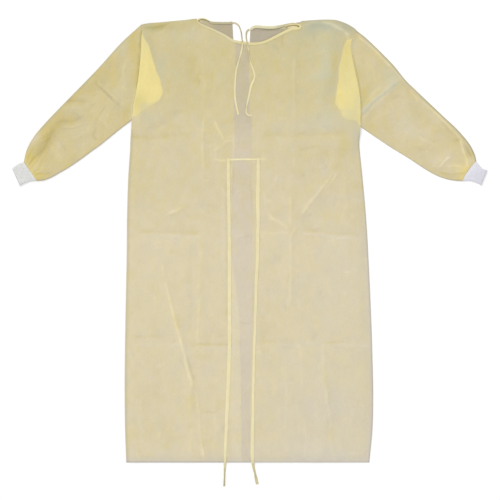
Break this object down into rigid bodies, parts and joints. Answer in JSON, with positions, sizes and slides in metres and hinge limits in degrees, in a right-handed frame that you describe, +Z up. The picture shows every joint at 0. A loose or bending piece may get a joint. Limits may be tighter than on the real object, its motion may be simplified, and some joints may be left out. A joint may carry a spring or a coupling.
{
  "type": "protective gown laid flat",
  "caption": "Yellow non-woven protective gown laid flat: open back, bound neck with ties, long sleeves with rib-knit cuffs, and a waist belt.",
  "frame": {"origin": "centre of the garment's footprint, on the surface it lies on", "axes": "+Z up off the surface, +Y towards the neck, +X to the right as seen from above"},
  "size_m": [1.2364, 1.2142, 0.0072],
  "materials": {
    "yellow_nonwoven": "soft matte spunbond with a faint sheen",
    "yellow_nonwoven_single": "soft matte spunbond, one layer",
    "pale_yellow_tape": "folded non-woven tape",
    "white_rib_knit": "rib knit"
  },
  "bodies": {
    "root": {"front": "yellow_nonwoven", "back_left": "yellow_nonwoven_single", "back_right": "yellow_nonwoven_single", "sleeve_left": "yellow_nonwoven", "sleeve_right": "yellow_nonwoven", "cuff_left": "white_rib_knit", "cuff_right": "white_rib_knit", "binding_front": "pale_yellow_tape", "binding_back_left": "pale_yellow_tape", "binding_back_right": "pale_yellow_tape", "neck_tie_left": "pale_yellow_tape", "neck_tie_right": "pale_yellow_tape", "waist_belt": "pale_yellow_tape", "waist_tie_left": "pale_yellow_tape", "waist_tie_right": "pale_yellow_tape"}
  },
  "joints": []
}
